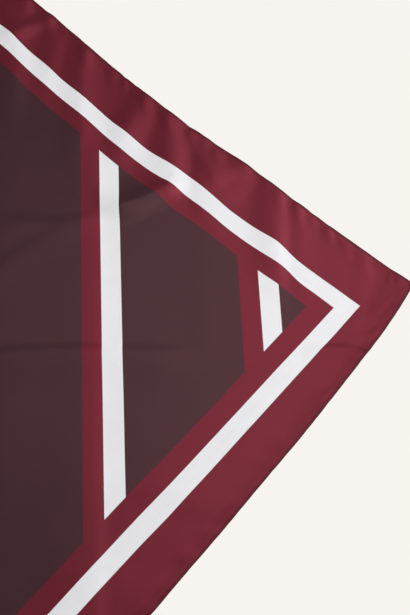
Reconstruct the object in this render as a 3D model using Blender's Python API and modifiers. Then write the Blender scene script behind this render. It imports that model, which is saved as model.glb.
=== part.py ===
# A large square satin scarf spread out flat, its rolled hems lifted here and there into soft folds.
#
# The scarf is one cut square of cloth, 900 mm from hem edge to hem edge, with a hand-rolled hem on
# each side. The cloth is a wall that lies on z = 0, and +Z is up. Each side is measured from one
# corner: "along" runs down the hem from that corner, and "across" runs inwards from the hem edge.
# The middle of the outline is the origin. Lengths in the tables are millimetres.

import math

import bmesh
import bpy

MM = 0.001

# Driving dimensions, in metres
SIDE = 900 * MM  # the finished square, hem edge to hem edge
WALL = 1.0 * MM  # thickness of the cloth wall
SEAM_GAP = 0.3 * MM  # between the cloth wall and a hem, and between two hems at a corner
HEM_WIDTH = 4.5 * MM
HEM_HEIGHT = 2.0 * MM
HEM_NOSE = 0.9 * MM  # radius of the rolled outer edge
STRIP = 8 * MM  # the outer strip that keeps its width where the outline bows
LINE_ACROSS = 58 * MM  # the depth of the pale line, where the tables below measure bows and folds
BOW_SLANT = 0.9  # a wave of the line lies this far nearer the corner for each unit of depth
BOW_FADE = 230 * MM  # the bow of a side dies out at this depth
FOLD_FULL = 75 * MM  # a fold keeps its height to this depth, then sinks to nothing at its reach
FOLD_AT_HEM = 0.8  # share of a fold's height that it has at the hem edge

# The wall's mesh: square cells, finer in two belts along the hems
CELLS = 22  # a side
FINE_BELT = 2  # cells wide, each cut into 3 by 3
MIDDLE_BELT = 4  # cells wide with the fine belt, each cut into 2 by 2
FINE_CUTS = 2
MIDDLE_CUTS = 1

# side: (corner it is measured from, direction along the hem, direction inwards)
SIDES = {
    "north": ((1, 1), (-1, 0), (0, -1)),
    "east": ((1, 1), (0, -1), (-1, 0)),
    "south": ((-1, -1), (1, 0), (0, 1)),
    "west": ((-1, -1), (0, 1), (1, 0)),
}

# How far each side bows inwards, because cloth laid by hand is never quite square:
# (along, at the hem edge, at LINE_ACROSS)
BOWS = {
    "north": (
        (0, -5.8, 0),
        (75, -4.5, -0.5),
        (115, -3.6, 0.8),
        (145, -2.8, -1.3),
        (185, -2.2, 1.3),
        (225, -1.8, 2.2),
        (265, -0.5, 1.7),
        (305, 1.5, 2.7),
        (345, 3, 5.2),
        (390, 2.3, 5),
        (430, 0.8, 2.4),
        (475, -1.3, 1),
        (525, -4.4, -1.7),
        (565, -6.4, -5.3),
        (600, -7.5, -6),
        (680, -5, -5),
        (770, -1, -1),
        (900, 3, 0),
    ),
    "east": (
        (0, 20, -1),
        (30, 14, -1.5),
        (60, 10, -1.8),
        (120, 6, -1.6),
        (185, 2.3, -2),
        (250, 0.5, -1.7),
        (310, -1.5, -1.8),
        (370, -2.6, -1),
        (420, -3.8, -0.6),
        (560, -1, 0),
        (700, 2, 2),
        (900, -3, 0),
    ),
    "south": (
        (0, 9, 1),
        (70, 5, 1),
        (180, 1, 2),
        (290, -2, -1),
        (400, 1, 2),
        (520, 2.5, 3),
        (640, -1, 0),
        (760, -4, -2),
        (900, -5, 0),
    ),
    "west": (
        (0, -4, 0),
        (90, -2, 1),
        (210, 1, 3),
        (330, 3, 4),
        (450, 0, 1),
        (570, -3, -2),
        (690, -1, 1),
        (800, 3, 2),
        (900, 7, 1),
    ),
}

# The soft folds that rise at each hem and run slanting into the cloth:
# (crest along at LINE_ACROSS, rise, half width towards the corner, half width away from it,
#  slant in degrees from square to the hem, towards the corner, reach inwards)
# A crest that is less than 0 lies beyond the corner, so that its fold lifts the corner itself.
FOLDS = {
    "north": (
        (-98, 2.4, 10, 140, 45, 150),
        (42, 0.5, 20, 18, 38, 92),
        (118, 0.8, 28, 16, 42, 95),
        (155, 3.2, 24, 40, 40, 125),
        (256, 3.4, 46, 32, 42, 98),
        (294, 3.4, 25, 44, 42, 95),
        (370, 3.5, 29, 30, 16, 100),
        (446, 1.8, 40, 32, 42, 150),
        (498, 1.2, 22, 24, 36, 100),
        (556, 2.4, 34, 44, 42, 165),
        (632, 3.0, 34, 24, 40, 130),
        (704, 4.6, 26, 42, 28, 160),
        (780, 2.4, 24, 20, -22, 110),
        (842, 1.6, 20, 18, -36, 95),
    ),
    "east": (
        (78, 0.7, 24, 20, -36, 110),
        (150, 0.8, 34, 28, -40, 135),
        (236, 0.6, 28, 26, -38, 100),
        (318, 0.8, 36, 30, -30, 120),
        (432, 0.8, 32, 36, -34, 110),
        (548, 2.4, 30, 40, -25, 140),
        (640, 3.4, 24, 44, 20, 150),
        (742, 2.2, 30, 22, 34, 115),
        (830, 1.6, 20, 24, 38, 95),
    ),
    "south": (
        (66, 1.6, 20, 22, 40, 100),
        (138, 3.8, 26, 48, 38, 160),
        (236, 2.6, 30, 20, 42, 120),
        (322, 4.4, 24, 52, 36, 165),
        (418, 2.2, 28, 24, 30, 110),
        (506, 3.2, 40, 26, 24, 140),
        (604, 4.0, 26, 46, -20, 155),
        (700, 2.4, 30, 24, -32, 120),
        (792, 3.0, 22, 36, -38, 130),
        (852, 1.4, 18, 18, -40, 90),
    ),
    "west": (
        (58, 1.4, 18, 20, 36, 92),
        (134, 2.6, 26, 30, 40, 130),
        (232, 3.6, 22, 50, 42, 150),
        (330, 2.0, 32, 24, 34, 110),
        (424, 3.8, 28, 44, 26, 160),
        (528, 2.4, 34, 22, -24, 120),
        (616, 3.4, 24, 42, -34, 145),
        (720, 1.8, 30, 26, -40, 105),
        (816, 2.6, 22, 28, -42, 115),
    ),
}

# The rolled hem's cross-section: (across from the hem edge, height), metres
HEM_SECTION = (
    (HEM_NOSE * 0.6, 0.0),
    (0.0, HEM_NOSE),
    (HEM_NOSE, HEM_HEIGHT),
    (HEM_WIDTH * 0.75, HEM_HEIGHT * 0.85),
    (HEM_WIDTH, HEM_HEIGHT * 0.55),
    (HEM_WIDTH, 0.0),
)

# sub-part: (base colour, roughness, metallic)
CLOTH_FINISH = ((0.054, 0.026, 0.029, 1.0), 0.42, 0.0)
HEM_FINISH = ((0.150, 0.017, 0.028, 1.0), 0.45, 0.0)

HALF = SIDE / 2
STATIONS = CELLS * (FINE_CUTS + 1)  # a side, on the wall's rim and on each hem
MITRE_BACK = SEAM_GAP / math.sqrt(2)


def smooth_step(share):
    """0 below 0, 1 above 1, and a soft S between them."""
    share = min(max(share, 0.0), 1.0)
    return share * share * (3 - 2 * share)


def read_table(rows, column, place):
    """A smooth curve through a table's rows, by the column wanted, at a place in the first column."""
    last = len(rows) - 1
    place = min(max(place, rows[0][0]), rows[last][0])
    at = next(i for i in range(last) if place <= rows[i + 1][0])
    before = rows[max(at - 1, 0)]
    low = rows[at]
    high = rows[at + 1]
    after = rows[min(at + 2, last)]
    span = high[0] - low[0]
    slope_low = (high[column] - before[column]) / (high[0] - before[0]) * span
    slope_high = (after[column] - low[column]) / (after[0] - low[0]) * span
    t = (place - low[0]) / span
    rest = 1 - t
    return (
        low[column] * (1 + 2 * t) * rest * rest
        + high[column] * t * t * (3 - 2 * t)
        + slope_low * t * rest * rest
        - slope_high * t * t * rest
    )


def along_across(side, s, t):
    """Where a point of the flat square lies as seen from a side."""
    corner, along_way, inward_way = SIDES[side]
    from_corner = (s - corner[0] * HALF, t - corner[1] * HALF)
    along = from_corner[0] * along_way[0] + from_corner[1] * along_way[1]
    across = from_corner[0] * inward_way[0] + from_corner[1] * inward_way[1]
    return along, across


def bow_inwards(side, along, across):
    """How far the cloth of a side lies inwards of its place on the flat square."""
    slanted = along + BOW_SLANT * (across - LINE_ACROSS)
    at_hem = read_table(BOWS[side], 1, along / MM) * MM
    at_line = read_table(BOWS[side], 2, slanted / MM) * MM
    if across < LINE_ACROSS:
        share = smooth_step((across - STRIP) / (LINE_ACROSS - STRIP))
        return at_hem + (at_line - at_hem) * share
    return at_line * (1 - smooth_step((across - LINE_ACROSS) / (BOW_FADE - LINE_ACROSS)))


def fold_height(side, along, across):
    """How high the folds of a side lift the cloth."""
    height = 0.0
    for crest, rise, near, far, slant, reach in FOLDS[side]:
        shift = math.tan(math.radians(slant)) * (across - LINE_ACROSS)
        from_crest = along - (crest * MM - shift)
        half_width = (near if from_crest < 0 else far) * MM
        if abs(from_crest) >= half_width or across >= reach * MM:
            continue
        ridge = 0.5 + 0.5 * math.cos(math.pi * from_crest / half_width)
        sink = 1 - smooth_step((across - FOLD_FULL) / (reach * MM - FOLD_FULL))
        at_hem = FOLD_AT_HEM + (1 - FOLD_AT_HEM) * smooth_step(across / LINE_ACROSS)
        height += rise * MM * ridge * sink * at_hem
    return height


def lay(s, t, above=0.0):
    """The laid cloth's point for a point (s, t) of the flat square, raised by a height above it."""
    x = s
    y = t
    z = above
    for side in SIDES:
        along, across = along_across(side, s, t)
        inward = bow_inwards(side, along, across)
        x += SIDES[side][2][0] * inward
        y += SIDES[side][2][1] * inward
        z += fold_height(side, along, across)
    return x, y, z


def hem_point(side, station, across, above):
    """A point of a hem: its ends are mitred, so a station moves in from the corner with the depth."""
    corner, along_way, inward_way = SIDES[side]
    run = HALF - across - MITRE_BACK
    along = HALF - run + 2 * run * station / STATIONS
    s = corner[0] * HALF + along_way[0] * along + inward_way[0] * across
    t = corner[1] * HALF + along_way[1] * along + inward_way[1] * across
    return lay(s, t, above)


def outline_middle():
    """The middle of the box round the hem edges."""
    edge = [hem_point(side, k, 0.0, 0.0) for side in SIDES for k in range(STATIONS + 1)]
    xs = [point[0] for point in edge]
    ys = [point[1] for point in edge]
    return (min(xs) + max(xs)) / 2, (min(ys) + max(ys)) / 2


def finish(name, looks):
    """A plain material of the sub-part's colour, roughness and metallic value."""
    colour, roughness, metallic = looks
    material = bpy.data.materials.new(name)
    material.use_nodes = True
    shader = material.node_tree.nodes["Principled BSDF"]
    shader.inputs["Base Color"].default_value = colour
    shader.inputs["Roughness"].default_value = roughness
    shader.inputs["Metallic"].default_value = metallic
    material.diffuse_color = colour
    return material


def add_object(name, shape, material, collection, middle):
    """An object of the scarf, with the middle of the outline at its origin."""
    bmesh.ops.translate(shape, verts=shape.verts, vec=(-middle[0], -middle[1], 0))
    mesh = bpy.data.meshes.new(name)
    shape.to_mesh(mesh)
    shape.free()
    mesh.materials.append(material)
    mesh.shade_smooth()
    mesh.set_sharp_from_angle(angle=math.radians(40))
    obj = bpy.data.objects.new(name, mesh)
    collection.objects.link(obj)
    return obj


def belt_edges(shape, outer, inner):
    """The mesh edges of the square cells whose middles lie between two distances from the centre lines."""
    edges = set()
    for face in shape.faces:
        centre = face.calc_center_median()
        if inner < max(abs(centre.x), abs(centre.y)) < outer:
            edges.update(face.edges)
    return edges


def make_cloth(collection, middle):
    """The cloth wall: a grid laid over the folds, and given its thickness upwards."""
    width = SIDE - 2 * (HEM_WIDTH + SEAM_GAP)
    cell = width / CELLS
    shape = bmesh.new()
    bmesh.ops.create_grid(shape, x_segments=CELLS, y_segments=CELLS, size=width / 2)
    rim = width / 2
    fine_inside = rim - FINE_BELT * cell
    middle_inside = rim - MIDDLE_BELT * cell
    fine_edges = belt_edges(shape, rim, fine_inside)
    middle_edges = belt_edges(shape, fine_inside, middle_inside) - fine_edges
    bmesh.ops.subdivide_edges(shape, edges=list(fine_edges), cuts=FINE_CUTS, use_grid_fill=True)
    middle_edges = [edge for edge in middle_edges if edge.is_valid]
    bmesh.ops.subdivide_edges(shape, edges=middle_edges, cuts=MIDDLE_CUTS, use_grid_fill=True)
    for vertex in shape.verts:
        vertex.co = lay(vertex.co.x, vertex.co.y)
    bmesh.ops.triangulate(shape, faces=shape.faces)
    cloth = add_object("cloth", shape, finish("satin_cloth", CLOTH_FINISH), collection, middle)
    wall = cloth.modifiers.new("wall", "SOLIDIFY")
    wall.thickness = WALL
    wall.offset = 1.0
    return cloth


def make_hem(side, material, collection, middle):
    """One rolled hem: its section lofted along the rim from mitre to mitre."""
    shape = bmesh.new()
    rings = []
    for station in range(STATIONS + 1):
        points = [hem_point(side, station, across, above) for across, above in HEM_SECTION]
        rings.append([shape.verts.new(point) for point in points])
    corners = len(HEM_SECTION)
    for ring, following in zip(rings, rings[1:]):
        for k in range(corners):
            after = (k + 1) % corners
            shape.faces.new((ring[k], ring[after], following[after], following[k]))
    shape.faces.new(rings[0])
    shape.faces.new(rings[-1])
    bmesh.ops.recalc_face_normals(shape, faces=shape.faces)
    return add_object("hem_" + side, shape, material, collection, middle)


def main():
    for obj in list(bpy.data.objects):
        bpy.data.objects.remove(obj)
    collection = bpy.data.collections.new("satin_scarf")
    bpy.context.scene.collection.children.link(collection)
    middle = outline_middle()
    make_cloth(collection, middle)
    hem_material = finish("satin_hem", HEM_FINISH)
    for side in SIDES:
        make_hem(side, hem_material, collection, middle)


main()
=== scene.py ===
# A large square satin scarf laid out flat: printed cloth, four narrow rolled hems and their stitches.
# Lengths are metres, apart from what says mm. +Z is up, and the middle of the outline is the origin.
# Each side is measured from one corner: "along" runs down the hem, and "across" runs in from its edge.
import math
import random

import bmesh
import bpy
from mathutils import Euler, Matrix, Vector, noise


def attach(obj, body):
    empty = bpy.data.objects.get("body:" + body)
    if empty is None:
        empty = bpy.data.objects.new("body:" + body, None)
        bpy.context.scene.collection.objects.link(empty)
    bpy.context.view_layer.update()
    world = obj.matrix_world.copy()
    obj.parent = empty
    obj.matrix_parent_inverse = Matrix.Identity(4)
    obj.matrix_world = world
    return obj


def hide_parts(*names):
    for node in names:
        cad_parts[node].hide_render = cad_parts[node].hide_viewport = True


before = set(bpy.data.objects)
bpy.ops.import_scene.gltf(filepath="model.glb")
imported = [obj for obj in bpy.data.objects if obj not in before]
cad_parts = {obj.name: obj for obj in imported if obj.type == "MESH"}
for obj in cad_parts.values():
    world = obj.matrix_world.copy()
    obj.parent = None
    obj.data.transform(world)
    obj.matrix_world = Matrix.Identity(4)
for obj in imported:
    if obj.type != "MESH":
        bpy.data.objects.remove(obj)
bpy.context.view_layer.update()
print("frame loaded:", ", ".join(sorted(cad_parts)))

mm = 0.001

# --- how the cut square lies ---

cut = {
    "side": 900 * mm,  # the finished square, hem edge to hem edge
    "seamGap": 0.3 * mm,  # between the hems at a corner
    "strip": 8 * mm,  # the outer strip that keeps its width where the outline bows
    "lineAcross": 58 * mm,  # depth of the pale line, where the tables measure bows and folds
    "bowSlant": 0.9,  # a wave of the line lies this far nearer the corner for each unit of depth
    "bowFade": 230 * mm,  # a side's bow dies out at this depth
    "foldFull": 42 * mm,  # a fold keeps its height to this depth, then sinks to nothing at its reach
    "foldAtHem": 0.8,  # share of its height that a fold has at the hem edge
    "stations": 66,  # places on each hem edge, where the outline is measured
}
half = cut["side"] / 2

# side: (corner it is measured from, direction along the hem, direction inwards)
sides = {
    "north": ((1, 1), (-1, 0), (0, -1)),
    "east": ((1, 1), (0, -1), (-1, 0)),
    "south": ((-1, -1), (1, 0), (0, 1)),
    "west": ((-1, -1), (0, 1), (1, 0)),
}

# mm: (along, bow inwards at the hem edge, bow inwards at lineAcross)
bows = {
    "north": (
        (0, -5.8, 0),
        (75, -4.5, -0.5),
        (115, -3.6, 0.8),
        (145, -2.8, -1.3),
        (185, -2.2, 1.3),
        (225, -1.8, 2.2),
        (265, -0.5, 1.7),
        (305, 1.5, 2.7),
        (345, 3, 5.2),
        (390, 2.3, 5),
        (430, 0.8, 2.4),
        (475, -1.3, 1),
        (525, -4.4, -1.7),
        (565, -6.4, -5.3),
        (600, -7.5, -6),
        (680, -5, -5),
        (770, -1, -1),
        (900, 3, 0),
    ),
    "east": (
        (0, 20, -1),
        (30, 14, -1.5),
        (60, 10, -1.8),
        (120, 6, -1.6),
        (185, 2.3, -2),
        (250, 0.5, -1.7),
        (310, -1.5, -1.8),
        (370, -2.6, -1),
        (420, -3.8, -0.6),
        (560, -1, 0),
        (700, 2, 2),
        (900, -3, 0),
    ),
    "south": (
        (0, 9, 1),
        (70, 5, 1),
        (180, 1, 2),
        (290, -2, -1),
        (400, 1, 2),
        (520, 2.5, 3),
        (640, -1, 0),
        (760, -4, -2),
        (900, -5, 0),
    ),
    "west": (
        (0, -4, 0),
        (90, -2, 1),
        (210, 1, 3),
        (330, 3, 4),
        (450, 0, 1),
        (570, -3, -2),
        (690, -1, 1),
        (800, 3, 2),
        (900, 7, 1),
    ),
}

# mm: (crest along at lineAcross, rise, half width towards the corner, half width away from it,
#      slant in degrees from square to the hem, towards the corner, reach inwards)
# a crest less than 0 lies beyond the corner, and its fold lifts the corner itself
folds = {
    "north": (
        (-98, 2.4, 10, 140, 45, 150),
        (42, 0.5, 20, 18, 38, 92),
        (118, 0.8, 28, 16, 42, 95),
        (155, 3.2, 24, 40, 40, 125),
        (256, 3.4, 46, 32, 42, 98),
        (294, 3.4, 25, 44, 42, 95),
        (370, 3.5, 29, 30, 16, 100),
        (446, 1.8, 40, 32, 42, 150),
        (498, 1.2, 22, 24, 36, 100),
        (556, 2.4, 34, 44, 42, 165),
        (632, 3.0, 34, 24, 40, 130),
        (704, 4.6, 26, 42, 28, 160),
        (780, 2.4, 24, 20, -22, 110),
        (842, 1.6, 20, 18, -36, 95),
    ),
    "east": (
        (78, 0.7, 24, 20, -36, 110),
        (150, 0.8, 34, 28, -40, 135),
        (236, 0.6, 28, 26, -38, 100),
        (318, 0.8, 36, 30, -30, 120),
        (432, 0.8, 32, 36, -34, 110),
        (548, 2.4, 30, 40, -25, 140),
        (640, 3.4, 24, 44, 20, 150),
        (742, 2.2, 30, 22, 34, 115),
        (830, 1.6, 20, 24, 38, 95),
    ),
    "south": (
        (66, 1.6, 20, 22, 40, 100),
        (138, 3.8, 26, 48, 38, 160),
        (236, 2.6, 30, 20, 42, 120),
        (322, 4.4, 24, 52, 36, 165),
        (418, 2.2, 28, 24, 30, 110),
        (506, 3.2, 40, 26, 24, 140),
        (604, 4.0, 26, 46, -20, 155),
        (700, 2.4, 30, 24, -32, 120),
        (792, 3.0, 22, 36, -38, 130),
        (852, 1.4, 18, 18, -40, 90),
    ),
    "west": (
        (58, 1.4, 18, 20, 36, 92),
        (134, 2.6, 26, 30, 40, 130),
        (232, 3.6, 22, 50, 42, 150),
        (330, 2.0, 32, 24, 34, 110),
        (424, 3.8, 28, 44, 26, 160),
        (528, 2.4, 34, 22, -24, 120),
        (616, 3.4, 24, 42, -34, 145),
        (720, 1.8, 30, 26, -40, 105),
        (816, 2.6, 22, 28, -42, 115),
    ),
}


def smoothStep(share):
    # 0 to 1 with a soft start and a soft end
    share = min(max(share, 0.0), 1.0)
    return share * share * (3 - 2 * share)


def bell(distance, halfWidth):
    # 1 at the middle, falling softly to 0 at the half width
    if abs(distance) >= halfWidth:
        return 0.0
    return 0.5 + 0.5 * math.cos(math.pi * distance / halfWidth)


def readTable(rows, column, place):
    # a smooth curve through the rows, by the column wanted, at a place in the first column
    last = len(rows) - 1
    place = min(max(place, rows[0][0]), rows[last][0])
    at = next(i for i in range(last) if place <= rows[i + 1][0])
    before = rows[max(at - 1, 0)]
    low = rows[at]
    high = rows[at + 1]
    after = rows[min(at + 2, last)]
    span = high[0] - low[0]
    slopeLow = (high[column] - before[column]) / (high[0] - before[0]) * span
    slopeHigh = (after[column] - low[column]) / (after[0] - low[0]) * span
    t = (place - low[0]) / span
    rest = 1 - t
    return (
        low[column] * (1 + 2 * t) * rest * rest
        + high[column] * t * t * (3 - 2 * t)
        + slopeLow * t * rest * rest
        - slopeHigh * t * t * rest
    )


def alongAcross(side, s, t):
    # how far a point lies down a side's hem, and how far in from its edge
    corner, alongWay, inwardWay = sides[side]
    fromCorner = (s - corner[0] * half, t - corner[1] * half)
    along = fromCorner[0] * alongWay[0] + fromCorner[1] * alongWay[1]
    across = fromCorner[0] * inwardWay[0] + fromCorner[1] * inwardWay[1]
    return along, across


def flatPlace(side, along, across):
    # the point (s, t) of the flat square at a place that is measured from a side
    corner, alongWay, inwardWay = sides[side]
    s = corner[0] * half + alongWay[0] * along + inwardWay[0] * across
    t = corner[1] * half + alongWay[1] * along + inwardWay[1] * across
    return s, t


def bowInwards(side, along, across):
    # how far a place lies inwards of a straight hem's: the hem's bow, the line's, then less and less
    if across >= cut["bowFade"]:
        return 0.0
    slanted = along + cut["bowSlant"] * (across - cut["lineAcross"])
    atLine = readTable(bows[side], 2, slanted / mm) * mm
    if across < cut["lineAcross"]:
        atHem = readTable(bows[side], 1, along / mm) * mm
        share = smoothStep((across - cut["strip"]) / (cut["lineAcross"] - cut["strip"]))
        return atHem + (atLine - atHem) * share
    fade = smoothStep((across - cut["lineAcross"]) / (cut["bowFade"] - cut["lineAcross"]))
    return atLine * (1 - fade)


def foldHeight(side, along, across):
    # the height of a side's folds at a place
    height = 0.0
    for crest, rise, near, far, slant, reach in folds[side]:
        if across >= reach * mm:
            continue
        shift = math.tan(math.radians(slant)) * (across - cut["lineAcross"])
        fromCrest = along - (crest * mm - shift)
        ridge = bell(fromCrest, (near if fromCrest < 0 else far) * mm)
        sink = 1 - smoothStep((across - cut["foldFull"]) / (reach * mm - cut["foldFull"]))
        atHem = cut["foldAtHem"] + (1 - cut["foldAtHem"]) * smoothStep(across / cut["lineAcross"])
        height += rise * mm * ridge * sink * atHem
    return height


def lay(s, t, above=0.0):
    # where a point (s, t) of the flat square lies, raised by a height above the cloth's underside
    x = s
    y = t
    z = above
    for side in sides:
        along, across = alongAcross(side, s, t)
        inward = bowInwards(side, along, across)
        x += sides[side][2][0] * inward
        y += sides[side][2][1] * inward
        z += foldHeight(side, along, across)
    return x, y, z


def outlineMiddle():
    # the middle of the box round the hem edges, which is the part's origin
    run = half - cut["seamGap"] / math.sqrt(2)
    edge = []
    for side in sides:
        for k in range(cut["stations"] + 1):
            along = half - run + 2 * run * k / cut["stations"]
            edge.append(lay(*flatPlace(side, along, 0.0)))
    xs = [point[0] for point in edge]
    ys = [point[1] for point in edge]
    return (min(xs) + max(xs)) / 2, (min(ys) + max(ys)) / 2


middle = outlineMiddle()
print("outline's middle, mm:", round(middle[0] / mm, 3), round(middle[1] / mm, 3))

# --- fine relief: puckers at the hem, press creases and slow waves ---

relief = {
    "pitAcross": 5.6 * mm,  # where the hem's stitches pull the cloth down
    "pitAlongRadius": 0.28,  # of the pucker's half width
    "pitAcrossRadius": 2.8 * mm,
    "pitDepth": 0.45 * mm,
    "puckerFrom": 1 * mm,  # a pucker rises from here inwards
    "puckerFull": 8 * mm,
    "puckerRise": 0.11,  # of its half width
    "puckerReach": (10, 1.1),  # mm, and more of it by the half width
    "puckerEvery": 27 * mm,  # with a scatter, where no place is given below
    "puckerScatter": 8 * mm,
    "puckerWidths": (7, 17),  # mm
    "puckerStrengths": (0.3, 1.0),
    "puckerDeepest": 45 * mm,  # no pucker runs further in
    "puckerSpan": 70 * mm,  # nor further along the hem from its place
    "creaseTaper": 0.2,  # share of a crease's run in which it rises from nothing, at each end
    "waveHeight": 0.35 * mm,  # slow waves over the whole cloth
    "waveLength": 120 * mm,
    "finerWaves": 2.6,  # finer ones on them: so many times shorter
    "finerHeight": 0.3,  # and this share of their height
    "waveSlices": (1.7, 5.3),  # where the two kinds cut through the noise
    "seed": 5,
}

# the puckers of the two hems that meet at the north-east corner: mm (along, strength, half width)
placedPuckers = {
    "north": (
        (24, 0.15, 14),
        (47, 0.25, 12),
        (91, 0.45, 17),
        (114, 0.5, 16),
        (134, 1.1, 11),
        (154, 1.1, 8),
        (178, 0.9, 14),
        (202, 0.6, 14),
        (217, 0.5, 6),
        (249, 0.3, 15),
        (289, 1.0, 14),
        (305, 0.7, 10),
        (326, 1.4, 13),
        (363, 0.7, 18),
        (396, 1.1, 14),
        (410, 1.1, 7),
        (428, 1.3, 9),
        (450, 0.6, 13),
        (496, 1.2, 16),
        (528, 0.4, 7),
        (560, 1.1, 15),
        (601, 0.7, 15),
        (636, 0.9, 15),
    ),
    "east": (
        (22, 0.25, 12),
        (46, 0.3, 8),
        (70, 0.5, 13),
        (96, 0.3, 7),
        (121, 0.4, 10),
        (151, 0.5, 12),
        (171, 0.3, 6),
        (184, 0.5, 9),
        (216, 0.4, 12),
        (239, 0.5, 10),
        (266, 0.4, 13),
        (290, 0.4, 8),
        (306, 0.3, 7),
        (328, 0.4, 12),
        (359, 0.5, 13),
        (391, 0.3, 9),
        (420, 0.5, 12),
        (452, 0.4, 10),
    ),
}
puckerSlant = {"north": 42, "east": -36, "south": 38, "west": 34}  # degrees, towards the corner

# mm from the middle of the flat square: (points, (height, half width to the right of the way the points
# run, half width to the left of it)); a height below 0 makes a trough
creases = (
    # the ridge that runs in from the north border: a narrow one, and a broader one under it
    (
        ((157, 402), (159, 388), (158, 374), (151, 358), (144, 342), (135, 327), (127, 313)),
        (3.0, 17, 21),
    ),
    (
        ((161, 393), (158, 374), (151, 358), (144, 342), (135, 327), (128, 315), (121, 303)),
        (3.2, 38, 21),
    ),
    # the fine crease at the ridge's end, and its branch
    (
        (
            (126, 311), (120, 298), (114, 288), (106, 278), (97, 269), (87, 260), (77, 252),
            (65, 243), (52, 233), (37, 224),
        ),
        (0.9, 9, 26),
    ),
    (
        ((114, 283), (108, 264), (100, 241), (94, 220), (89, 198), (88, 167), (90, 141)),
        (0.5, 14, 30),
    ),
    # the press crease that runs up the picture
    (
        ((-29, 455), (65, 359), (150, 270), (229, 188), (303, 111), (372, 41), (435, -25), (500, -93)),
        (0.95, 65, 14),
    ),
    # the press crease square to it, and its end in the east border
    (
        (
            (36, 5), (82, 48), (120, 84), (157, 121), (186, 150), (219, 180), (249, 205),
            (273, 224), (297, 243), (320, 263),
        ),
        (1.6, 50, 7),
    ),
    (
        ((384, 328), (398, 337), (411, 345), (429, 355), (446, 361), (463, 368), (482, 376)),
        (1.7, 18, 9),
    ),
    # a faint swelling between the bars
    (
        ((220, 366), (278, 304), (332, 248)),
        (0.35, 26, 26),
    ),
    # slanting folds in the north border
    (
        ((-42, 443), (-8, 410), (26, 378), (52, 354)),
        (0.6, 11, 11),
    ),
    (
        ((233, 484), (218, 465), (208, 454), (201, 441), (193, 428), (188, 417), (184, 406)),
        (2.6, 40, 17),
    ),
    (
        ((72, 454), (89, 444), (103, 434), (117, 422), (129, 411), (141, 397), (148, 380)),
        (1.7, 38, 30),
    ),
    # the lift of the north-east corner
    (
        ((440, 490), (465, 440), (478, 380), (482, 310), (480, 250)),
        (2.6, 95, 60),
    ),
    # more slanting folds in the north border
    (
        ((-85, 494), (-91, 480), (-100, 461), (-106, 441), (-113, 422), (-123, 401), (-137, 382)),
        (2.2, 13, 17),
    ),
    (
        ((193, 481), (198, 469), (204, 452), (210, 433), (214, 412), (216, 393)),
        (1.7, 36, 21),
    ),
    (
        ((275, 456), (280, 447), (290, 429), (303, 409), (314, 392), (324, 376)),
        (0.9, 28, 20),
    ),
    (
        ((37, 467), (44, 456), (53, 442), (57, 432), (61, 421), (65, 410), (71, 398), (76, 386)),
        (0.7, 30, 18),
    ),
    # faint ones over the far half
    (
        ((-390, 120), (-250, 40), (-120, -20), (30, -60), (150, -40)),
        (-0.1, 7, 7),
    ),
    (
        ((-330, 300), (-210, 180), (-60, 90), (60, 20)),
        (0.09, 8, 8),
    ),
    (
        ((-300, -330), (-180, -230), (-60, -160), (90, -130)),
        (-0.1, 7, 7),
    ),
    (
        ((-120, -400), (-30, -280), (60, -190), (200, -120)),
        (0.08, 8, 8),
    ),
    (
        ((220, -380), (250, -250), (330, -120)),
        (-0.08, 6, 6),
    ),
    (
        ((-410, -60), (-280, -110), (-170, -200)),
        (-0.08, 6, 6),
    ),
)


def diceFor(side, seed):
    # the same draws in each run, and other ones on each side
    return random.Random(seed + len(side) * 7 + ord(side[0]))


def makePuckers(side):
    # (along, strength, half width) of each pucker on a side, in metres
    dice = diceFor(side, relief["seed"])
    placed = []
    for place, strength, halfWidth in placedPuckers.get(side, ()):
        placed.append((place * mm, strength, halfWidth * mm))
    place = (placed[-1][0] if placed else 0.0) + relief["puckerEvery"]
    while place < cut["side"] - relief["puckerEvery"]:
        scatter = dice.uniform(-1, 1) * relief["puckerScatter"]
        strength = dice.uniform(*relief["puckerStrengths"])
        placed.append((place + scatter, strength, dice.uniform(*relief["puckerWidths"]) * mm))
        place += relief["puckerEvery"]
    return placed


puckers = {side: makePuckers(side) for side in sides}


def hemRelief(side, along, across):
    # pits under the hem's stitches, and the soft puckers that run slanting into the cloth from them
    if across > relief["puckerDeepest"]:
        return 0.0
    height = 0.0
    slope = math.tan(math.radians(puckerSlant[side]))
    rampLength = relief["puckerFull"] - relief["puckerFrom"]
    rising = smoothStep((across - relief["puckerFrom"]) / rampLength)
    for place, strength, halfWidth in puckers[side]:
        if abs(along - place) > relief["puckerSpan"]:
            continue
        pitAlong = (along - place) / (relief["pitAlongRadius"] * halfWidth)
        pitAcross = (across - relief["pitAcross"]) / relief["pitAcrossRadius"]
        height -= relief["pitDepth"] * strength * math.exp(-pitAlong * pitAlong - pitAcross * pitAcross)
        crest = place - halfWidth / 2 - slope * (across - relief["pitAcross"])
        reach = relief["puckerReach"][0] * mm + relief["puckerReach"][1] * halfWidth
        falling = 1 - smoothStep((across - relief["puckerFull"]) / (reach - relief["puckerFull"]))
        ridge = bell(along - crest, halfWidth)
        height += relief["puckerRise"] * halfWidth * strength * ridge * rising * falling
    return height


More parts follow.
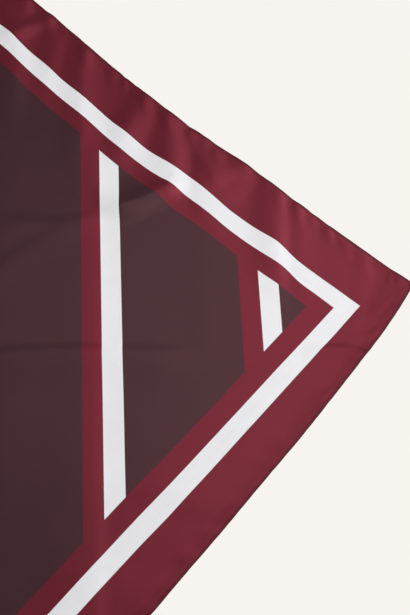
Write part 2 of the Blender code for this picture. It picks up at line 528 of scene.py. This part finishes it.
def creaseHeight(s, t):
    # the sum of the creases at a point of the flat square, each by the nearest place on its line
    height = 0.0
    place = Vector((s, t)) / mm
    ends = relief["creaseTaper"]
    for points, (rise, rightWidth, leftWidth) in creases:
        best = max(rightWidth, leftWidth)
        ridge = 0.0
        last = len(points) - 1
        for k in range(last):
            start = Vector(points[k])
            span = Vector(points[k + 1]) - start
            share = min(max((place - start).dot(span) / span.length_squared, 0.0), 1.0)
            offset = place - start - span * share
            if offset.length < best:
                best = offset.length
                run = (k + share) / last
                taper = smoothStep(run / ends) * smoothStep((1 - run) / ends)
                ridge = bell(best, leftWidth if span.cross(offset) > 0 else rightWidth) * taper
        height += rise * mm * ridge
    return height


def slowWaves(s, t):
    # long, low waves of the whole cloth, and finer ones on them
    k = 1 / relief["waveLength"]
    times = relief["finerWaves"]
    broadSlice, finerSlice = relief["waveSlices"]
    broad = noise.noise(Vector((s * k, t * k, broadSlice)))
    finer = noise.noise(Vector((s * k * times, t * k * times, finerSlice)))
    return relief["waveHeight"] * (broad + relief["finerHeight"] * finer)


def fineRelief(s, t):
    # what a hem's upper side shares with the cloth beside it
    height = slowWaves(s, t)
    for side in sides:
        along, across = alongAcross(side, s, t)
        height += hemRelief(side, along, across)
    return height


# --- where the print falls ---

# mm that the print lies inwards of its nominal depth, by the place along the side, slanted as a bow is:
# (along, at the line's outer edge, at its inner edge, at the field's edge)
printShifts = {
    "north": (
        (0, 0, 0, 0),
        (55, 0, -1.5, -2.5),
        (95, 1.5, -1.3, -3.5),
        (120, 2.1, -0.4, -5),
        (137, 0.4, -2.6, -5.5),
        (150, -0.5, -2.5, -5),
        (175, 1.9, -0.5, -3.5),
        (215, 3.3, 1.3, -2),
        (245, 2.4, 0.7, -2),
        (275, 1.8, 1.0, -0.5),
        (300, 3.9, 1.4, 0.8),
        (325, 6.0, 3.4, 0),
        (345, 6.2, 4.3, 0.5),
        (385, 5.5, 4.4, 1.2),
        (425, 3.2, 1.9, 0),
        (465, 2.1, 0.8, -2),
        (505, -0.8, -1.0, -3.2),
        (535, -2.0, -2.7, -5),
        (575, -5.5, -6.0, -9),
        (620, -6.0, -6.5, -8),
        (680, -5, -5, -5),
        (770, -1, -1, -1),
        (900, 0, 0, 0),
    ),
    "east": (
        (0, -1, -1, -1),
        (60, -2, -2.6, -1),
        (160, -2, -2.4, -0.5),
        (325, -2, -1.6, 0),
        (370, -0.8, -0.4, 1.5),
        (474, -0.5, -0.1, 2),
        (700, 2, 2, 2),
        (900, 0, 0, 0),
    ),
}

printPlan = {
    "lineFrom": 48.6,  # mm from the hem edge: the pale line
    "lineTo": 68.6,
    "fieldFrom": 89.1,  # the dark field
    "shiftFade": 165,  # the shifts above die out at this depth
    # mm from the line's corner, along the diagonal: (a bar's pale part, its red part, its end)
    "bars": ((80.0, 100.3, 120.8), (244.3, 265.3, 286.0)),
    "edgeSoft": 0.6,  # mm that a printed edge takes to change
}


def printShift(side, along, depth):
    # how far the print lies inwards of its nominal depth
    slanted = (along + cut["bowSlant"] * (depth - cut["lineAcross"])) / mm
    if side not in printShifts:  # the print follows the side's bow
        if depth >= cut["bowFade"]:
            return 0.0
        return bowInwards(side, along, max(depth, cut["lineAcross"]))
    deep = depth / mm
    if deep >= printPlan["shiftFade"]:
        return 0.0
    stops = (
        (printPlan["lineFrom"], 1),
        (printPlan["lineTo"], 2),
        (printPlan["fieldFrom"], 3),
    )
    for (start, column), (end, after) in zip(stops, stops[1:]):
        if deep < end:
            share = min(max((deep - start) / (end - start), 0.0), 1.0)
            low = readTable(printShifts[side], column, slanted)
            high = readTable(printShifts[side], after, slanted)
            return (low + (high - low) * share) * mm
    fadeRun = printPlan["shiftFade"] - printPlan["fieldFrom"]
    fade = 1 - smoothStep((deep - printPlan["fieldFrom"]) / fadeRun)
    return readTable(printShifts[side], 3, slanted) * fade * mm


def borderPlace(x, y):
    # the print's own coordinates for a place on the table, with the shifts of each side taken off;
    # a shift is read at the depth that it leads to, so it takes two rounds
    u = x
    v = y
    for side, (corner, alongWay, inwardWay) in sides.items():
        along, across = alongAcross(side, x, y)
        depth = across
        for _ in range(2):
            depth = across - printShift(side, along, depth)
        u += inwardWay[0] * (depth - across)
        v += inwardWay[1] * (depth - across)
    return u, v


# --- node helpers and shared effects ---


def addNode(tree, kind, values=None, **settings):
    made = tree.nodes.new(kind)
    for name, value in settings.items():
        setattr(made, name, value)
    for name, value in (values or {}).items():
        if isinstance(value, bpy.types.NodeSocket):
            tree.links.new(value, made.inputs[name])
        else:
            made.inputs[name].default_value = value
    return made


def calc(tree, operation, *values):
    return addNode(tree, "ShaderNodeMath", dict(enumerate(values)), operation=operation).outputs[0]


def rise(tree, value, at, soft):
    # 0 below a place and 1 above it, with a soft change
    return addNode(
        tree,
        "ShaderNodeMapRange",
        {"Value": value, "From Min": at - soft / 2, "From Max": at + soft / 2},
        interpolation_type="SMOOTHSTEP",
    ).outputs[0]


def around(tree, value, middleOne, spread):
    # a value of 0 to 1 as one that swings about a middle one
    wanted = {"Value": value, "To Min": middleOne - spread, "To Max": middleOne + spread}
    return addNode(tree, "ShaderNodeMapRange", wanted).outputs[0]


def blendColours(tree, mask, under, over):
    mixed = addNode(tree, "ShaderNodeMix", {0: mask, 6: under, 7: over}, data_type="RGBA")
    return mixed.outputs[2]


def newGroup(name, inputs, outputs):
    group = bpy.data.node_groups.new(name, "ShaderNodeTree")
    for label, kind in inputs:
        group.interface.new_socket(name=label, in_out="INPUT", socket_type=kind)
    for label, kind in outputs:
        group.interface.new_socket(name=label, in_out="OUTPUT", socket_type=kind)
    return group, group.nodes.new("NodeGroupInput"), group.nodes.new("NodeGroupOutput")


def fromMiddle(tree, place):
    # the two coordinates of a place on the print, in mm from the middle of the square
    parts = addNode(tree, "ShaderNodeSeparateXYZ", {0: place}).outputs
    return [calc(tree, "MULTIPLY_ADD", parts[axis], cut["side"] / mm, -half / mm) for axis in (0, 1)]


def makePrintGroup():
    # masks of the printed square: a pale line inside the border, a dark field inside that, and two bars
    # of pale and red across each of two opposite corners
    group, given, result = newGroup(
        "scarfPrint",
        [("Border Place", "NodeSocketVector"), ("Bar Place", "NodeSocketVector")],
        [("Pale", "NodeSocketFloat"), ("Dark", "NodeSocketFloat")],
    )
    soft = printPlan["edgeSoft"]
    east, north = fromMiddle(group, given.outputs["Border Place"])
    outermost = calc(group, "MAXIMUM", calc(group, "ABSOLUTE", east), calc(group, "ABSOLUTE", north))
    depth = calc(group, "SUBTRACT", half / mm, outermost)
    lineStart = rise(group, depth, printPlan["lineFrom"], soft)
    lineEnd = rise(group, depth, printPlan["lineTo"], soft)
    field = rise(group, depth, printPlan["fieldFrom"], soft)
    east, north = fromMiddle(group, given.outputs["Bar Place"])
    outwards = calc(group, "ABSOLUTE", calc(group, "ADD", east, north))
    lineCorner = (cut["side"] / mm - 2 * printPlan["lineFrom"]) / math.sqrt(2)
    diagonal = calc(group, "MULTIPLY_ADD", outwards, -1 / math.sqrt(2), lineCorner)
    pale = calc(group, "SUBTRACT", lineStart, lineEnd)
    dark = field
    for paleFrom, redFrom, barEnd in printPlan["bars"]:
        starts = rise(group, diagonal, paleFrom, soft)
        changes = rise(group, diagonal, redFrom, soft)
        ends = rise(group, diagonal, barEnd, soft)
        palePart = calc(group, "MULTIPLY", calc(group, "SUBTRACT", starts, changes), field)
        wholeBar = calc(group, "MULTIPLY", calc(group, "SUBTRACT", starts, ends), field)
        pale = calc(group, "ADD", pale, palePart)
        dark = calc(group, "SUBTRACT", dark, wholeBar)
    group.links.new(pale, result.inputs["Pale"])
    group.links.new(dark, result.inputs["Dark"])
    return group


weave = {
    "floatLength": 2.6,  # mm: a satin float along the warp
    "floatWidth": 0.30,
    "slubLength": 90,  # mm: thicker and thinner stretches of yarn
    "slubWidth": 1.1,
    "weftSlub": (1.6, 0.7),  # the weft's slubs are so many times as wide and as long
    "warpShare": 0.6,  # the warp's share of the slubs
    "floatShare": 0.6,  # the floats' share of the height
    "mottleSize": 38,  # mm: slow changes in how the cloth takes dye and press
}


def makeWeaveGroup():
    # satin yarns from a place in mm: fine floats, slubs in both directions and a slow mottle
    group, given, result = newGroup(
        "satinWeave",
        [("Place", "NodeSocketVector")],
        [("Height", "NodeSocketFloat"), ("Slub", "NodeSocketFloat"), ("Mottle", "NodeSocketFloat")],
    )

    def grain(width, length, turned, detail):
        scale = (1 / length, 1 / width, 1) if turned else (1 / width, 1 / length, 1)
        place = {"Vector": given.outputs["Place"], "Scale": scale}
        stretched = addNode(group, "ShaderNodeMapping", place).outputs[0]
        grains = {"Vector": stretched, "Scale": 1.0, "Detail": detail}
        return addNode(group, "ShaderNodeTexNoise", grains).outputs[0]

    def shareOut(first, second, share):
        firstPart = calc(group, "MULTIPLY", first, share)
        return calc(group, "ADD", firstPart, calc(group, "MULTIPLY", second, 1 - share))

    wider, longer = weave["weftSlub"]
    floats = grain(weave["floatWidth"], weave["floatLength"], False, 1.0)
    warpSlub = grain(weave["slubWidth"], weave["slubLength"], False, 2.0)
    weftSlub = grain(weave["slubWidth"] * wider, weave["slubLength"] * longer, True, 2.0)
    mottle = grain(weave["mottleSize"], weave["mottleSize"], False, 2.0)
    slub = shareOut(warpSlub, weftSlub, weave["warpShare"])
    height = shareOut(floats, slub, weave["floatShare"])
    group.links.new(height, result.inputs["Height"])
    group.links.new(slub, result.inputs["Slub"])
    group.links.new(mottle, result.inputs["Mottle"])
    return group


printGroup = makePrintGroup()
weaveGroup = makeWeaveGroup()
print("shared effects built")

# --- materials ---

dyes = {
    "red": (0.1545, 0.0185, 0.0306, 1.0),
    "dark": (0.0640, 0.0261, 0.0305, 1.0),
    "pale": (0.768, 0.763, 0.778, 1.0),
    "thread": (0.120, 0.018, 0.026, 1.0),
}

satin = {
    "roughness": 0.36,
    "roughnessSpread": 0.04,
    "dyedMetallic": 0.45,  # dyed yarns tint the gloss
    "paleMetallic": 0.02,
    "specularLevel": 0.10,
    "toneSpread": 0.05,  # brightness change from slubs and mottle
    "bumpStrength": 0.12,
    "bumpDistance": 0.05 * mm,
}


def newMaterial(name, roughness, specularLevel):
    material = bpy.data.materials.new(name)
    material.use_nodes = True
    tree = material.node_tree
    shader = tree.nodes["Principled BSDF"]
    shader.inputs["Roughness"].default_value = roughness
    shader.inputs["Specular IOR Level"].default_value = specularLevel
    return material, tree, shader


def satinFinish(tree, shader, place, colour, metallic):
    # weave, slubs and mottle over a dye, for every piece that is cut from the satin
    yarns = addNode(tree, "ShaderNodeGroup", node_tree=weaveGroup)
    tree.links.new(place, yarns.inputs["Place"])
    slub, mottle = yarns.outputs["Slub"], yarns.outputs["Mottle"]
    tone = around(tree, slub, 1, satin["toneSpread"])
    slow = around(tree, mottle, 1, satin["toneSpread"])
    both = calc(tree, "MULTIPLY", tone, slow)
    toned = addNode(tree, "ShaderNodeVectorMath", {0: colour, "Scale": both}, operation="SCALE")
    tree.links.new(toned.outputs[0], shader.inputs["Base Color"])
    rough = around(tree, mottle, satin["roughness"], satin["roughnessSpread"])
    tree.links.new(rough, shader.inputs["Roughness"])
    tree.links.new(metallic, shader.inputs["Metallic"])
    bump = addNode(
        tree,
        "ShaderNodeBump",
        {
            "Height": yarns.outputs["Height"],
            "Strength": satin["bumpStrength"],
            "Distance": satin["bumpDistance"],
        },
    )
    tree.links.new(bump.outputs[0], shader.inputs["Normal"])


def makePrintedSatin():
    material, tree, shader = newMaterial("printedSatin", satin["roughness"], satin["specularLevel"])
    border = addNode(tree, "ShaderNodeUVMap", uv_map="borderPlace").outputs[0]
    bar = addNode(tree, "ShaderNodeUVMap", uv_map="barPlace").outputs[0]
    masks = addNode(tree, "ShaderNodeGroup", node_tree=printGroup)
    tree.links.new(border, masks.inputs["Border Place"])
    tree.links.new(bar, masks.inputs["Bar Place"])
    colour = blendColours(tree, masks.outputs["Dark"], dyes["red"], dyes["dark"])
    colour = blendColours(tree, masks.outputs["Pale"], colour, dyes["pale"])
    metallic = addNode(
        tree,
        "ShaderNodeMapRange",
        {
            "Value": masks.outputs["Pale"],
            "To Min": satin["dyedMetallic"],
            "To Max": satin["paleMetallic"],
        },
    ).outputs[0]
    inMm = addNode(
        tree, "ShaderNodeVectorMath", {0: bar, "Scale": cut["side"] / mm}, operation="SCALE"
    ).outputs[0]
    satinFinish(tree, shader, inMm, colour, metallic)
    return material


rollShade = {
    "darkTo": 0.21,  # share of the way round the hem's section: the roll's painted shade is darkest to here
    "plainFrom": 0.39,  # and the painted shade is gone from here, as bright as the cloth
    "tone": 0.5,  # the painted shade at its darkest
    # less tinted gloss where the painted shade is darkest
    "metallic": 0.2,
    "round": 11.0,  # mm of satin round the section
}


def makeHemSatin():
    # the same red satin, with painted shade where the roll turns under at its edge
    material, tree, shader = newMaterial("hemSatin", satin["roughness"], satin["specularLevel"])
    place = addNode(tree, "ShaderNodeUVMap", uv_map="hemPlace").outputs[0]
    parts = addNode(tree, "ShaderNodeSeparateXYZ", {0: place})
    # the painted shade: darker colour and less tinted gloss at the roll's outer edge
    under = addNode(
        tree,
        "ShaderNodeMapRange",
        {
            "Value": parts.outputs[1],
            "From Min": rollShade["darkTo"],
            "From Max": rollShade["plainFrom"],
            "To Min": rollShade["tone"],
            "To Max": 1.0,
        },
        interpolation_type="SMOOTHSTEP",
    ).outputs[0]
    base = addNode(tree, "ShaderNodeRGB")
    base.outputs[0].default_value = dyes["red"]
    shaded = {0: base.outputs[0], "Scale": under}
    colour = addNode(tree, "ShaderNodeVectorMath", shaded, operation="SCALE")
    metallic = addNode(
        tree,
        "ShaderNodeMapRange",
        {
            "Value": under,
            "From Min": rollShade["tone"],
            "To Min": rollShade["metallic"],
            "To Max": satin["dyedMetallic"],
        },
    ).outputs[0]
    size = (cut["side"] / mm, rollShade["round"], 0)
    inMm = addNode(tree, "ShaderNodeVectorMath", {0: place, 1: size}, operation="MULTIPLY")
    satinFinish(tree, shader, inMm.outputs[0], colour.outputs[0], metallic)
    return material


thread = {
    "roughness": 0.5,
    "specularLevel": 0.3,
    "plyScale": 2600.0,
    "plyWobble": 1.0,
    "grooveTone": 0.6,  # painted shade between the plies
    "bumpStrength": 0.3,
    "bumpDistance": 0.05 * mm,
}


def makeThread():
    # two plies that twist round each other, with painted shade in the groove between them
    material, tree, shader = newMaterial("hemThread", thread["roughness"], thread["specularLevel"])
    place = addNode(tree, "ShaderNodeTexCoord").outputs["Object"]
    wave = {"Vector": place, "Scale": thread["plyScale"], "Distortion": thread["plyWobble"]}
    ply = addNode(tree, "ShaderNodeTexWave", wave).outputs[1]
    # painted shade: the thread's colour, darker in the groove between the plies
    paintedGrooveShade = tuple(part * thread["grooveTone"] for part in dyes["thread"][:3]) + (1,)
    tree.links.new(blendColours(tree, ply, dyes["thread"], paintedGrooveShade), shader.inputs["Base Color"])
    bump = addNode(
        tree,
        "ShaderNodeBump",
        {"Height": ply, "Strength": thread["bumpStrength"], "Distance": thread["bumpDistance"]},
    )
    tree.links.new(bump.outputs[0], shader.inputs["Normal"])
    return material


printedSatin = makePrintedSatin()
hemSatin = makeHemSatin()
hemThread = makeThread()
print("materials built")

# --- pieces ---


def newMesh(name, shape, material):
    mesh = bpy.data.meshes.new(name)
    shape.to_mesh(mesh)
    shape.free()
    mesh.materials.append(material)
    return mesh


def newObject(name, data):
    made = bpy.data.objects.new(name, data)
    bpy.context.scene.collection.objects.link(made)
    return made


def newPiece(name, shape, material):
    # the bmesh as an object whose place is in its mesh, with the outline's middle at the origin
    bmesh.ops.translate(shape, verts=shape.verts, vec=(-middle[0], -middle[1], 0))
    mesh = newMesh(name, shape, material)
    mesh.shade_smooth()
    return newObject(name, mesh)


clothLook = {
    "cells": 220,  # a side
    "crowding": 0.3,  # 0 gives even cells; 0.3 makes those at the hems 0.4 of the average
    "rimAcross": 4.2 * mm,  # the cloth's rim, tucked into the hem
    "tuck": 0.05 * mm,
    "tuckReach": 1.2 * mm,
    "thickness": 0.28 * mm,
    "lift": 0.60 * mm,  # the upper face above the table
    "hemLift": 1.0 * mm,  # more of it beside the hem
    "hemLiftReach": 12.5 * mm,
}


def clothHeight(s, t):
    # the upper face's height above the folds: fine relief, the lift beside the hems and the rim's tuck
    edge = min(alongAcross(side, s, t)[1] for side in sides)
    lifted = clothLook["hemLift"] * (1 - smoothStep(edge / clothLook["hemLiftReach"]))
    fromRim = (edge - clothLook["rimAcross"]) / clothLook["tuckReach"]
    tucked = clothLook["tuck"] * (1 - smoothStep(fromRim))
    return clothLook["lift"] + lifted - tucked + creaseHeight(s, t) + fineRelief(s, t)


def makeCloth():
    # a grid that is finer at the hems, laid in place, with two UV maps that say where the print falls
    shape = bmesh.new()
    cells = clothLook["cells"]
    bmesh.ops.create_grid(shape, x_segments=cells, y_segments=cells, size=1.0)
    borderUv = shape.loops.layers.uv.new("borderPlace")
    barUv = shape.loops.layers.uv.new("barPlace")
    crowding = clothLook["crowding"]
    rim = half - clothLook["rimAcross"]
    places = {}
    for vertex in shape.verts:
        s, t = (rim * c * (1 + crowding - crowding * c * c) for c in vertex.co.xy)
        x, y, z = lay(s, t, clothHeight(s, t))
        vertex.co = (x, y, z)
        u, v = borderPlace(x, y)
        places[vertex] = (
            (0.5 + u / cut["side"], 0.5 + v / cut["side"]),
            (0.5 + x / cut["side"], 0.5 + y / cut["side"]),
        )
    for face in shape.faces:
        for loop in face.loops:
            loop[borderUv].uv, loop[barUv].uv = places[loop.vert]
    for edge in shape.edges:
        edge.smooth = not edge.is_boundary
    cloth = newPiece("satin_cloth", shape, printedSatin)
    wall = cloth.modifiers.new("wall", "SOLIDIFY")
    wall.thickness = clothLook["thickness"]
    wall.offset = -1.0
    return cloth


cloth = makeCloth()
print("cloth laid:", len(cloth.data.polygons), "cells")

hemLook = {
    "stations": 600,  # a side
    # mm: (across, height) round the roll, from its outer edge over the top and back underneath
    "section": (
        (0.0, 0.45),
        (0.12, 0.92),
        (0.45, 1.28),
        (1.0, 1.50),
        (1.7, 1.56),
        (2.9, 1.45),
        (4.0, 1.33),
        (4.7, 1.25),
        (5.3, 1.13),
        (5.5, 0.90),
        (4.9, 0.55),
        (3.4, 0.26),
        (2.0, 0.13),
        (0.9, 0.11),
        (0.2, 0.20),
    ),
    "scallop": 0.35 * mm,  # how far a pucker pulls the edge in
    "scallopWidth": 0.75,  # of the pucker's half width
    "scallopReach": 6 * mm,  # the pull dies out at this depth
    "ripple": 0.05 * mm,  # the roll's unevenness between stitches
    "rippleGrain": (160, 200),  # in a metre, along and across
    "plainTo": 0.15 * mm,  # the roll below this height has none of the cloth's fine relief
    "followsFrom": 0.8 * mm,  # and above this height has all of it
    "lowest": 0.05 * mm,  # no point goes nearer to the table
    "weld": 0.001 * mm,  # the section's first row and its last, which meet, become one
}


def hemPlaceOf(side, share, across, above):
    # a point of the roll, at a share of its run: its ends are mitred, so the run is shorter further in
    run = half - across - cut["seamGap"] / math.sqrt(2)
    along = half - run + 2 * run * share
    pull = 0.0
    for place, strength, width in puckers[side]:
        pull += strength * bell(along - place, hemLook["scallopWidth"] * width)
    inwards = across + hemLook["scallop"] * pull * (1 - across / hemLook["scallopReach"])
    s, t = flatPlace(side, along, inwards)
    alongGrain, acrossGrain = hemLook["rippleGrain"]
    grainPlace = Vector((along * alongGrain, across * acrossGrain, ord(side[0])))
    uneven = noise.noise(grainPlace) * hemLook["ripple"]
    topShare = smoothStep((above - hemLook["plainTo"]) / (hemLook["followsFrom"] - hemLook["plainTo"]))
    raised = above + creaseHeight(s, t) + topShare * (fineRelief(s, t) + uneven)
    return lay(s, t, max(raised, hemLook["lowest"]))


def makeHem(side):
    # the section of the roll along the whole side, closed at its two ends
    shape = bmesh.new()
    section = hemLook["section"]
    corners = len(section)
    bmesh.ops.create_grid(shape, x_segments=hemLook["stations"], y_segments=corners, size=1.0)
    hemUv = shape.loops.layers.uv.new("hemPlace")
    for face in shape.faces:
        for loop in face.loops:
            loop[hemUv].uv = (0.5 + loop.vert.co.x / 2, 0.5 + loop.vert.co.y / 2)
    for vertex in shape.verts:
        share = 0.5 + vertex.co.x / 2
        row = round((0.5 + vertex.co.y / 2) * corners) % corners
        across, above = section[row]
        vertex.co = hemPlaceOf(side, share, across * mm, above * mm)
    bmesh.ops.remove_doubles(shape, verts=shape.verts, dist=hemLook["weld"])
    rims = [edge for edge in shape.edges if edge.is_boundary]
    bmesh.ops.holes_fill(shape, edges=rims, sides=0)
    bmesh.ops.recalc_face_normals(shape, faces=shape.faces)
    return newPiece("rolled_hem_" + side, shape, hemSatin)


hems = {side: makeHem(side) for side in sides}
print("hems rolled:", ", ".join(hems))

stitchLook = {
    "every": 6.4 * mm,
    "scatter": 0.5 * mm,
    "across": 5.0 * mm,
    "length": 1.7 * mm,
    "width": 0.34 * mm,
    "height": 0.30 * mm,
    "turn": 32,  # degrees from the hem's run
    "endGap": 9 * mm,  # from a corner to the first stitch
    "acrossScatter": 0.2 * mm,
    "turnScatter": 8,  # degrees
    "above": 0.06 * mm,  # the bead's middle over the cloth
    "facets": (6, 4),  # round the bead, and from end to end
    "seed": 21,
}


def makeStitches(side):
    # small slanting stitches that catch the roll's inner edge, one short bead of thread each
    dice = diceFor(side, stitchLook["seed"])
    shape = bmesh.new()
    alongWay = sides[side][1]
    hemAngle = math.atan2(alongWay[1], alongWay[0])
    size = Matrix.Diagonal([stitchLook[extent] / 2 for extent in ("length", "width", "height")])
    along = stitchLook["endGap"]
    while along < cut["side"] - stitchLook["endGap"]:
        place = along + dice.uniform(-1, 1) * stitchLook["scatter"]
        across = stitchLook["across"] + dice.uniform(-1, 1) * stitchLook["acrossScatter"]
        s, t = flatPlace(side, place, across)
        spot = lay(s, t, clothHeight(s, t) + stitchLook["above"])
        turn = math.radians(stitchLook["turn"] + dice.uniform(-1, 1) * stitchLook["turnScatter"])
        turned = Euler((0, 0, hemAngle + turn)).to_matrix()
        bmesh.ops.create_uvsphere(
            shape,
            u_segments=stitchLook["facets"][0],
            v_segments=stitchLook["facets"][1],
            radius=1.0,
            matrix=Matrix.Translation(spot) @ (turned @ size).to_4x4(),
        )
        along += stitchLook["every"]
    return newPiece("hem_stitches_" + side, shape, hemThread)


stitches = {side: makeStitches(side) for side in sides}
print("stitches set:", sum(len(piece.data.polygons) for piece in stitches.values()), "faces")

# --- what each piece stands for ---

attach(cloth, "root")
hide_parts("cloth")
for side in sides:
    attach(hems[side], "root")
    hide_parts("hem_" + side)
    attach(stitches[side], "root")

# --- floor, light and camera ---

studio = {
    "floorSize": 60.0,
    "floorColour": (0.930, 0.905, 0.863),
    "worldColour": (0.24, 0.24, 0.24),
    "across": (0.741, 0.671, 0.0),  # the table's direction that runs to the right of the picture
    "away": (-0.671, 0.741, 0.0),  # and the one that runs up it
    "lightAim": (0.20, 0.25, 0.0),
    # (name, degrees to the right of overhead, degrees towards the picture's top, distance, size,
    #  radiance)
    "lights": (
        ("keyLight", 27, 10, 1.8, (2.05, 3.0), 1.43),
        ("sideLight", 35, 0, 1.8, (0.5, 2.0), 3.9),
        ("fillLight", -10, 20, 1.8, (0.5, 0.65), 1.5),
    ),
}


def makeFloor():
    # a large pale floor that gives its own even light
    shape = bmesh.new()
    bmesh.ops.create_grid(shape, x_segments=1, y_segments=1, size=studio["floorSize"] / 2)
    material, _, shader = newMaterial("paleFloor", 1.0, 0.0)
    shader.inputs["Base Color"].default_value = (0.0, 0.0, 0.0, 1.0)
    shader.inputs["Emission Color"].default_value = studio["floorColour"] + (1.0,)
    shader.inputs["Emission Strength"].default_value = 1.0
    floor = newObject("paleFloor", newMesh("paleFloor", shape, material))


def makeLights():
    # a dim world, and area lights that face the point they aim at
    world = bpy.data.worlds.new("studioAir")
    world.use_nodes = True
    world.node_tree.nodes["Background"].inputs["Color"].default_value = studio["worldColour"] + (1.0,)
    bpy.context.scene.world = world
    across, away = Vector(studio["across"]), Vector(studio["away"])
    for name, right, top, distance, size, radiance in studio["lights"]:
        right, top = math.radians(right), math.radians(top)
        level = away * math.sin(top) + Vector((0, 0, math.cos(top)))
        back = across * math.sin(right) + level * math.cos(right)
        side = across * math.cos(right) - level * math.sin(right)
        data = bpy.data.lights.new(name, "AREA")
        data.shape = "RECTANGLE"
        data.size, data.size_y = size
        data.energy = radiance * math.pi * size[0] * size[1]
        light = newObject(name, data)
        turn = Matrix((side, back.cross(side), back)).transposed()
        spot = Vector(studio["lightAim"]) + back * distance
        light.matrix_world = Matrix.Translation(spot) @ turn.to_4x4()


def makeCamera():
    # the lens, tilt and place that show the north-east corner as a photograph from above would
    lens = {
        "aim": (283.2 * mm, 296.7 * mm),  # in the coordinates of the flat square
        "distance": 1.157,
        "heading": 49.6,  # degrees
        "tilt": 23.4,
        "roll": -8.1,
        "focal": 65.39,  # mm
        "sensor": 36,
    }
    data = bpy.data.cameras.new("camera")
    data.lens = lens["focal"]
    data.sensor_width = lens["sensor"]
    camera = newObject("camera", data)
    turn = (
        Matrix.Rotation(math.radians(lens["heading"]), 3, "Z")
        @ Matrix.Rotation(math.radians(lens["tilt"]), 3, "X")
        @ Matrix.Rotation(math.radians(lens["roll"]), 3, "Z")
    )
    aim = Vector((lens["aim"][0] - middle[0], lens["aim"][1] - middle[1], 0))
    camera.matrix_world = Matrix.Translation(aim + turn.col[2] * lens["distance"]) @ turn.to_4x4()
    bpy.context.scene.camera = camera


makeFloor()
makeLights()
makeCamera()
bpy.context.scene.view_settings.view_transform = "Standard"
print("floor, light and camera placed")
